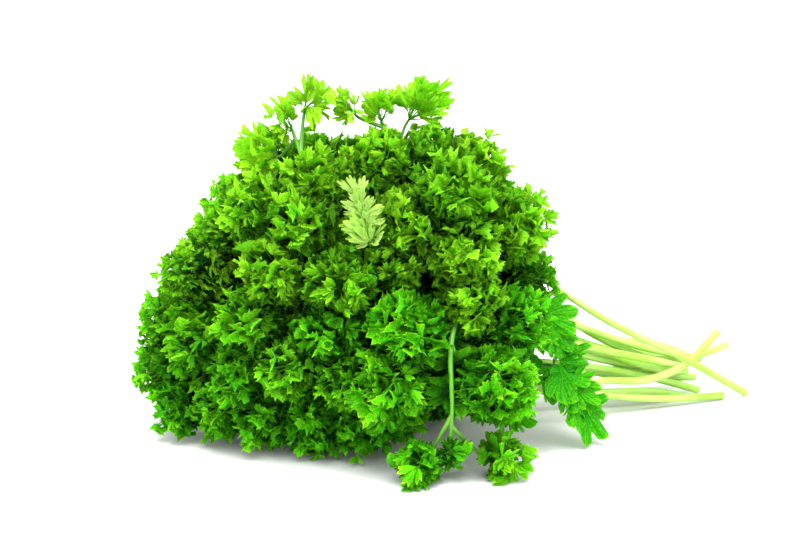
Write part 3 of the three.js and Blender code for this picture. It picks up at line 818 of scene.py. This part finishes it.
def add_inner_leaflets(shape, style, twig, rng):
    """A few leaflets along a twig, below its rosette, which fill the shade inside the bunch, painted dark as
    shade
    """
    points = twig["points"]
    for k in INNER_PLACES:
        along = unit(points[k + 1] - points[k - 1])
        depth_of = depth_from(points[k], INNER_DEPTH)
        for _ in range(INNER_LEAFLETS):
            out = unit(np.cross(along, rng.standard_normal(3)))
            forward = unit(out + 0.6 * along)
            normal = unit(along - (along @ forward) * forward)
            length = INNER_LENGTH + INNER_LENGTH_MORE * rng.random()
            add_leaflet(shape, style, points[k], forward, normal, length, rng, above_floor, depth_of)


def add_rib_leaflets(shape, style, points, rng):
    """Pairs of small leaflets along the sides of a bare midrib, behind it"""
    for share in RIB_PAIRS:
        at = share * (len(points) - 1)
        before, after = points[int(at)], points[min(int(at) + 1, len(points) - 1)]
        base = before + (at - int(at)) * (after - before)
        for hand in (-1, 1):
            forward = unit(hand * RIB_SIDE + RIB_DOWN * rng.random() + RIB_BACK)
            normal = unit(RIB_FRONT - (RIB_FRONT @ forward) * forward)
            length = RIB_LEAFLET * (0.8 + 0.4 * rng.random())
            depth_of = depth_from(base, 1.3 * length)
            behind = base + RIB_BACK * 1.5
            add_leaflet(shape, style, behind, forward, normal, length, rng, above_floor, depth_of)


# Materials


def nodes_of(name):
    """A new material, and the function that adds a shader node to it and sets or links its inputs"""
    material = bpy.data.materials.new(name)
    material.use_nodes = True
    tree = material.node_tree
    tree.nodes.clear()

    def node(kind, inputs=None, **settings):
        made = tree.nodes.new("ShaderNode" + kind)
        for key, value in settings.items():
            setattr(made, key, value)
        for key, value in (inputs or {}).items():
            if isinstance(value, bpy.types.NodeSocket):
                tree.links.new(value, made.inputs[key])
            else:
                made.inputs[key].default_value = value
        return made

    return material, node


def math_node(node, operation, *values):
    """The result of a Math node"""
    return node("Math", dict(enumerate(values)), operation=operation).outputs[0]


def mix(node, factor, a, b):
    """The colour from a to b by a factor, a number or a socket"""
    made = node("Mix", data_type="RGBA")
    tree = made.id_data
    for socket, value in ((made.inputs[0], factor), (made.inputs[6], a), (made.inputs[7], b)):
        if isinstance(value, bpy.types.NodeSocket):
            tree.links.new(value, socket)
        else:
            socket.default_value = value if isinstance(value, float) else (*value, 1.0)
    return made.outputs[2]


def ramp(node, value, low, high, start=0.0, end=1.0):
    """From start to end while value goes from low to high"""
    return node("MapRange", {0: value, 1: low, 2: high, 3: start, 4: end}).outputs[0]


# Leaf colours, with a painted shade deep in the bunch and a painted highlight on the edges, texture scales
# to the metre, and the ranges over which one colour passes into the next
# Painted shade, deep in the rosettes and between them
LEAF_SHADE = (0.003, 0.06, 0.0)
LEAF_DEEP = (0.014, 0.28, 0.001)
LEAF_BRIGHT = (0.13, 0.68, 0.002)
# The pale edge colour: partly the leaflet's own margin, partly a painted highlight
LEAF_EDGE_AND_HIGHLIGHT = (0.62, 0.96, 0.03)
LEAF_LIGHT = (0.43, 0.9, 0.02)
LEAF_PALE = (0.5, 0.76, 0.17)
LEAF_UNDER = (0.06, 0.6, 0.006)
LEAF_THROUGH = (0.16, 0.9, 0.0)
VEIN = (0.2, 0.76, 0.01)
LEAF_BLOTCHES = 260.0
LEAF_CRINKLES = 850.0
LEAF_CELLS = 2200.0
FURROWS_TO_A_LOBE = 4.0
DEEP_TO_BRIGHT = (1.1, 2.5)
TO_LIGHT = (0.2, 1.6)
TO_PALE = (1.8, 2.35)
MARGIN = (0.9, 0.985)
# the depth over which the painted shade gives way to the leaf's own green
OUT_OF_SHADE = (0.3, 0.92)
LEAF_TRANSLUCENCY = 0.22
LEAF_RELIEF = 0.0006  # metres


def leaf_material():
    """Leaf green by chance and shade, painted shade by depth, with veins, crinkles, painted shade in
    furrows, and light edges that are partly a painted highlight
    """
    material, node = nodes_of("parsley_leaf")
    place = node("TexCoord").outputs["Object"]
    tint = node("SeparateXYZ", {0: node("Attribute", attribute_name="tint").outputs["Vector"]})
    depth, chance, shade = tint.outputs
    blotch = node("TexNoise", {"Vector": place, "Scale": LEAF_BLOTCHES, "Detail": 3.0}).outputs[0]
    cells = node("TexVoronoi", {"Vector": place, "Scale": LEAF_CELLS}).outputs[0]
    crinkle = node("TexNoise", {"Vector": place, "Scale": LEAF_CRINKLES, "Detail": 2.0}).outputs[0]
    uv = node("SeparateXYZ", {0: node("UVMap", uv_map="blade").outputs[0]})
    across, outward = uv.outputs[0], uv.outputs[1]

    in_lobe = math_node(node, "FRACT", across)
    from_middle = math_node(node, "ABSOLUTE", math_node(node, "SUBTRACT", in_lobe, 0.5))
    vein = ramp(node, from_middle, 0.0, 0.05, 1.0, 0.0)
    in_furrow = math_node(node, "FRACT", math_node(node, "MULTIPLY", across, FURROWS_TO_A_LOBE))
    furrow = ramp(node, in_furrow, 0.6, 1.0)

    tone = math_node(node, "MULTIPLY_ADD", outward, 0.5, chance)
    tone = math_node(node, "ADD", tone, blotch)
    tone = math_node(node, "MULTIPLY_ADD", crinkle, 1.6, tone)
    # Painted shade along the furrows, which the bump also sinks
    tone = math_node(node, "MULTIPLY_ADD", furrow, -0.7, tone)
    body = mix(node, ramp(node, tone, *DEEP_TO_BRIGHT), LEAF_DEEP, LEAF_BRIGHT)
    body = mix(node, ramp(node, shade, *TO_LIGHT), body, LEAF_LIGHT)
    body = mix(node, ramp(node, shade, *TO_PALE), body, LEAF_PALE)
    body = mix(node, math_node(node, "MULTIPLY", vein, 0.3), body, VEIN)
    # The light edges: the leaflet's paler margin and a painted highlight, only out of the painted shade
    lit = math_node(
        node, "MULTIPLY", ramp(node, chance, 0.0, 1.0, 0.1, 1.0), ramp(node, depth, 0.6, 1.0)
    )
    body = mix(node, math_node(node, "MULTIPLY", ramp(node, outward, *MARGIN), lit), body, LEAF_EDGE_AND_HIGHLIGHT)
    underside = node("NewGeometry").outputs["Backfacing"]
    body = mix(node, math_node(node, "MULTIPLY", underside, 0.4), body, LEAF_UNDER)
    # Painted shade toward the heart of a rosette and between rosettes
    body = mix(node, ramp(node, depth, *OUT_OF_SHADE), LEAF_SHADE, body)

    height = math_node(node, "SUBTRACT", cells, furrow)
    height = math_node(node, "MULTIPLY_ADD", crinkle, 3.0, height)
    bump = node("Bump", {"Strength": 0.8, "Distance": LEAF_RELIEF, "Height": height}).outputs[0]
    surface = node(
        "BsdfPrincipled",
        {
            "Base Color": body,
            "Roughness": ramp(node, blotch, 0.3, 0.7, 0.4, 0.6),
            "Normal": bump,
            "Specular IOR Level": 0.1,
        },
    )
    through = mix(node, 0.5, body, LEAF_THROUGH)
    # The light through the leaf gets the same painted shade
    through = mix(node, ramp(node, depth, *OUT_OF_SHADE), LEAF_SHADE, through)
    glow = node("BsdfTranslucent", {"Color": through, "Normal": bump})
    both = node("MixShader", {0: LEAF_TRANSLUCENCY, 1: surface.outputs[0], 2: glow.outputs[0]})
    node("OutputMaterial", {"Surface": both.outputs[0]})
    return material


# Stalk and midrib colours, texture scales, and the places along x, in metres, between which a stalk comes
# out of the painted shade of the leaves
STALK_PALE = (0.45, 0.66, 0.155)
STALK_GREEN = (0.3, 0.56, 0.04)
STALK_CUT = (0.7, 0.82, 0.42)
# Painted shade on a stalk where it runs inside the leaves
STALK_SHADE = (0.05, 0.17, 0.005)
RIB_GREEN = (0.11, 0.4, 0.01)
# The dark of the midrib's blotches and streaks, also used as its painted shade inside the leaves
RIB_DARK_AND_PAINTED_SHADE = (0.09, 0.35, 0.008)
STALK_BLOTCHES = 55.0
STREAK_STRETCH = (14.0, 3.0, 1.0)
OUT_OF_LEAVES = (0.05, 0.092)
STALK_RELIEF = 0.0002  # metres


def stalk_material(name, light, dark, painted_shade_inside):
    """Blotched and streaked from light to dark, painted shade inside the leaves, pale at necks and cuts"""
    material, node = nodes_of(name)
    place = node("TexCoord").outputs["Object"]
    tint = node("SeparateXYZ", {0: node("Attribute", attribute_name="tint").outputs["Vector"]})
    cut, pale = tint.outputs[0], tint.outputs[1]
    along = node("SeparateXYZ", {0: place}).outputs[0]
    blotch = node("TexNoise", {"Vector": place, "Scale": STALK_BLOTCHES, "Detail": 4.0}).outputs[0]
    uv = node("UVMap", uv_map="blade").outputs[0]
    stretched = node("Mapping", {0: uv, 3: STREAK_STRETCH}).outputs[0]
    streak = node("TexNoise", {"Vector": stretched, "Scale": 3.0, "Detail": 3.0}).outputs[0]

    body = mix(node, ramp(node, blotch, 0.35, 0.65), light, dark)
    body = mix(node, math_node(node, "MULTIPLY", ramp(node, streak, 0.4, 0.7), 0.4), body, dark)
    # Painted shade where the stalk runs inside the leaves
    body = mix(node, ramp(node, along, *OUT_OF_LEAVES), painted_shade_inside, body)
    body = mix(node, pale, body, STALK_PALE)
    body = mix(node, cut, body, STALK_CUT)
    bump = node("Bump", {"Strength": 0.3, "Distance": STALK_RELIEF, "Height": streak}).outputs[0]
    surface = node(
        "BsdfPrincipled",
        {
            "Base Color": body,
            "Roughness": ramp(node, streak, 0.3, 0.7, 0.32, 0.5),
            "Normal": bump,
            "Subsurface Weight": 0.25,
            "Subsurface Radius": (0.5, 1.0, 0.2),
            "Subsurface Scale": 0.002,
        },
    )
    node("OutputMaterial", {"Surface": surface.outputs[0]})
    return material


# The pieces


def add_midrib_and_twigs(shape, stem):
    """The green tubes of a leaf, which carry its rosettes"""
    rib = spaced(stem["line"]["points"][STALK_STEPS:], RIB_RINGS)
    radii = np.linspace(STALK_NECK_RADIUS, RIB_TIP_RADIUS, len(rib))
    pale = PALE_NECKS.get(stem["line"]["stem"], NECK_PALE)
    add_tube(shape, rib, radii, RIB_SIDES, 1, STALK_RIDGES, RIB_RIDGE_DEPTH, (pale, 0.0))
    for twig in stem["twigs"]:
        line = spaced(twig["points"], TWIG_RINGS)
        radii = np.linspace(TWIG_RADIUS, TWIG_TIP_RADIUS, len(line))
        add_tube(shape, line, radii, TWIG_SIDES, 1, TWIG_RIDGES, RIDGE_DEPTH, (TWIG_PALE, 0.0))


def dress(stems, leaf, rib, stalk):
    """Two pieces for each stem: its foliage, and its bare stalk"""
    heads = [head for stem in stems.values() for head in stem["heads"]]
    for index, (name, stem) in enumerate(stems.items()):
        rng = np.random.default_rng(FIRST_SEED + index)
        foliage = Shape()
        add_midrib_and_twigs(foliage, stem)
        for head in stem["heads"]:
            style = head["style"] or stem["style"]
            add_leaf = add_feathered if style in FEATHERED and head["lean"].any() else add_rosette
            add_leaf(foliage, style, head, room_of(head, heads), rng)
        for twig, head in zip(stem["twigs"], stem["heads"]):
            if (head["style"] or stem["style"])["gloom"] > OPEN_GLOOM:
                add_inner_leaflets(foliage, STYLES["inner"], twig, rng)
        for x, y, z, radius in FILLS.get(name, ()):
            head = head_of(False, x, y, z, radius, 1)
            floor_only = (np.array([[0, 0, -1.0]]), np.array([head["heart"][2]]))
            add_rosette(foliage, STYLES["fill"], head, floor_only, rng)
        if name == RIB_STEM:
            add_rib_leaflets(foliage, stem["style"], stem["line"]["points"][STALK_STEPS:], rng)
        piece = foliage.build(f"foliage_{name}", [leaf, rib])
        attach(piece, "root")
        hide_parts(f"leaf_{name}")

        bare = Shape()
        line = spaced(stem["line"]["points"][: STALK_STEPS + 1], STALK_RINGS)
        line = np.vstack([line, line[-1] + NECK_OVERLAP * unit(line[-1] - line[-2])])
        radii = np.linspace(STALK_RADIUS, STALK_NECK_RADIUS, len(line))
        add_tube(bare, line, radii, STALK_SIDES, 0, STALK_RIDGES, RIDGE_DEPTH, cut_end=True)
        piece = bare.build(f"bare_{name}", [stalk])
        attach(piece, "root")
        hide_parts(f"stalk_{name}")


# Floor, light and camera

CAMERA_AZIMUTH = math.radians(-15)
CAMERA_ELEVATION = math.radians(13)
CAMERA_DISTANCE = 0.75
CAMERA_AIM = (0.022, 0.0664)  # right of and above the origin, across the view
FRAME_WIDTH = 800
MM_PER_PIXEL = 0.4
SENSOR = 36.0
WORLD_STRENGTH = 1.95
KEY_FROM = (-0.1, -0.34, 1.0)
KEY_SOFTNESS = 40
KEY_STRENGTH = 4.25
FLOOR_HALF = 6.0
FLOOR_COLOUR = (0.72, 0.72, 0.72, 1)
FLOOR_ROUGHNESS = 0.6
FLOOR_GLOSS = 0.2


def add_camera():
    """The camera, at the photograph's viewing angle"""
    az, el = CAMERA_AZIMUTH, CAMERA_ELEVATION
    right = np.array([math.cos(az), math.sin(az), 0])
    back = np.array([math.sin(az) * math.cos(el), -math.cos(az) * math.cos(el), math.sin(el)])
    up = np.cross(back, right)
    aim = CAMERA_AIM[0] * right + CAMERA_AIM[1] * up
    data = bpy.data.cameras.new("camera")
    data.sensor_width = SENSOR
    data.lens = SENSOR * CAMERA_DISTANCE / (MM_PER_PIXEL * MM * FRAME_WIDTH)
    camera = bpy.data.objects.new("camera", data)
    matrix = np.eye(4)
    matrix[:3] = np.stack([right, up, back, aim + CAMERA_DISTANCE * back], axis=1)
    camera.matrix_world = Matrix(matrix.tolist())
    bpy.context.scene.collection.objects.link(camera)
    bpy.context.scene.camera = camera


def add_sun(name, direction, softness, strength):
    """A sun lamp that shines from a direction"""
    data = bpy.data.lights.new(name, "SUN")
    data.angle = math.radians(softness)
    data.energy = strength
    light = bpy.data.objects.new(name, data)
    back = unit(np.array(direction, float))
    right = unit(np.cross([0, 0.01, 1.0], back))
    matrix = np.eye(4)
    matrix[:3, :3] = np.stack([right, np.cross(back, right), back], axis=1)
    light.matrix_world = Matrix(matrix.tolist())
    bpy.context.scene.collection.objects.link(light)


def add_stage():
    """The pale floor, the even light of the room and the key light"""
    mesh = bpy.data.meshes.new("floor")
    corners = [(FLOOR_HALF * x, FLOOR_HALF * y, 0) for x, y in ((-1, -1), (1, -1), (1, 1), (-1, 1))]
    mesh.from_pydata(corners, [], [(0, 1, 2, 3)])
    floor = bpy.data.objects.new("floor", mesh)
    material, node = nodes_of("white_floor")
    surface = node(
        "BsdfPrincipled",
        {"Base Color": FLOOR_COLOUR, "Roughness": FLOOR_ROUGHNESS, "Specular IOR Level": FLOOR_GLOSS},
    )
    node("OutputMaterial", {"Surface": surface.outputs[0]})
    mesh.materials.append(material)
    bpy.context.scene.collection.objects.link(floor)
    world = bpy.data.worlds.new("studio")
    bpy.context.scene.world = world
    world.use_nodes = True
    background = world.node_tree.nodes["Background"]
    background.inputs[0].default_value = (1, 1, 1, 1)
    background.inputs[1].default_value = WORLD_STRENGTH
    add_sun("key", KEY_FROM, KEY_SOFTNESS, KEY_STRENGTH)
    bpy.context.scene.view_settings.view_transform = "Standard"


dress(
    skeleton(),
    leaf_material(),
    stalk_material("parsley_rib", RIB_GREEN, RIB_DARK_AND_PAINTED_SHADE, RIB_DARK_AND_PAINTED_SHADE),
    stalk_material("parsley_stalk", STALK_PALE, STALK_GREEN, STALK_SHADE),
)
add_stage()
add_camera()
